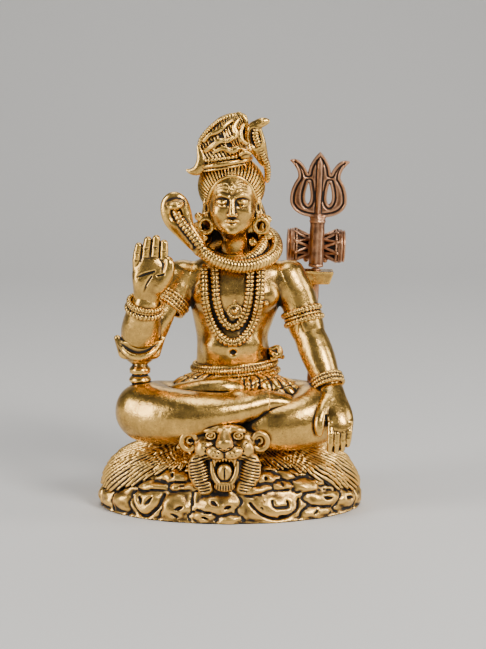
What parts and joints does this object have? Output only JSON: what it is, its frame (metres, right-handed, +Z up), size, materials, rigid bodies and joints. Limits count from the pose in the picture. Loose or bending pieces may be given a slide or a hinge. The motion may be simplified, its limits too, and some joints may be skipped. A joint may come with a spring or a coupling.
{
  "type": "seated deity statuette",
  "caption": "Small cast brass statue of a seated ascetic god with a cobra round the neck on a rock mound with a tiger pelt, and a lift-out trident with a drum",
  "frame": {"origin": "middle of the flat foot of the mound, on the surface it stands on", "axes": "+Z up; the figure faces -Y; +X is to the viewer's right, which is the figure's own left"},
  "size_m": [0.079, 0.052, 0.1156],
  "materials": {
    "antique_brass": "polished high spots, black patina in the recesses",
    "mound_brass": "rough cast, heavy black patina in the recesses",
    "red_brass": "reddish satin brass with dark recesses"
  },
  "bodies": {
    "statue": {"rock_base": "mound_brass", "tiger_pelt": "mound_brass", "tiger_head": "mound_brass", "figure_stud": "mound_brass", "stud_washer": "mound_brass", "stud_nut": "mound_brass", "loincloth": "antique_brass", "right_leg": "antique_brass", "left_leg": "antique_brass", "right_foot": "antique_brass", "left_foot": "antique_brass", "torso": "antique_brass", "waist_belt": "antique_brass", "waist_cord": "antique_brass", "sash_knot": "antique_brass", "right_upper_arm": "antique_brass", "left_upper_arm": "antique_brass", "right_forearm": "antique_brass", "left_forearm": "antique_brass", "right_hand": "antique_brass", "left_hand": "antique_brass", "right_armlet": "antique_brass", "left_armlet": "antique_brass", "right_bracelet": "antique_brass", "left_bracelet": "antique_brass", "armrest_post": "antique_brass", "armrest_cup": "antique_brass", "head": "antique_brass", "hair_cap": "antique_brass", "back_hair": "antique_brass", "topknot": "antique_brass", "topknot_band": "antique_brass", "crescent_moon": "antique_brass", "hair_cobra": "antique_brass", "right_earring": "antique_brass", "left_earring": "antique_brass", "neck_cobra": "antique_brass", "inner_mala": "antique_brass", "outer_mala": "antique_brass", "pendant": "antique_brass", "shoulder_bracket": "antique_brass"},
    "trident": {"trident_head": "red_brass", "trident_shaft": "red_brass", "trident_tang": "red_brass", "drum_body": "red_brass", "drum_skin_right": "red_brass", "drum_skin_left": "red_brass", "drum_cord": "red_brass"}
  },
  "joints": [
    {"name": "trident_lift", "type": "slide", "parent": "statue", "child": "trident", "axis": [0.0349, 0, 0.9994], "range_m": [0, 0.058]}
  ]
}
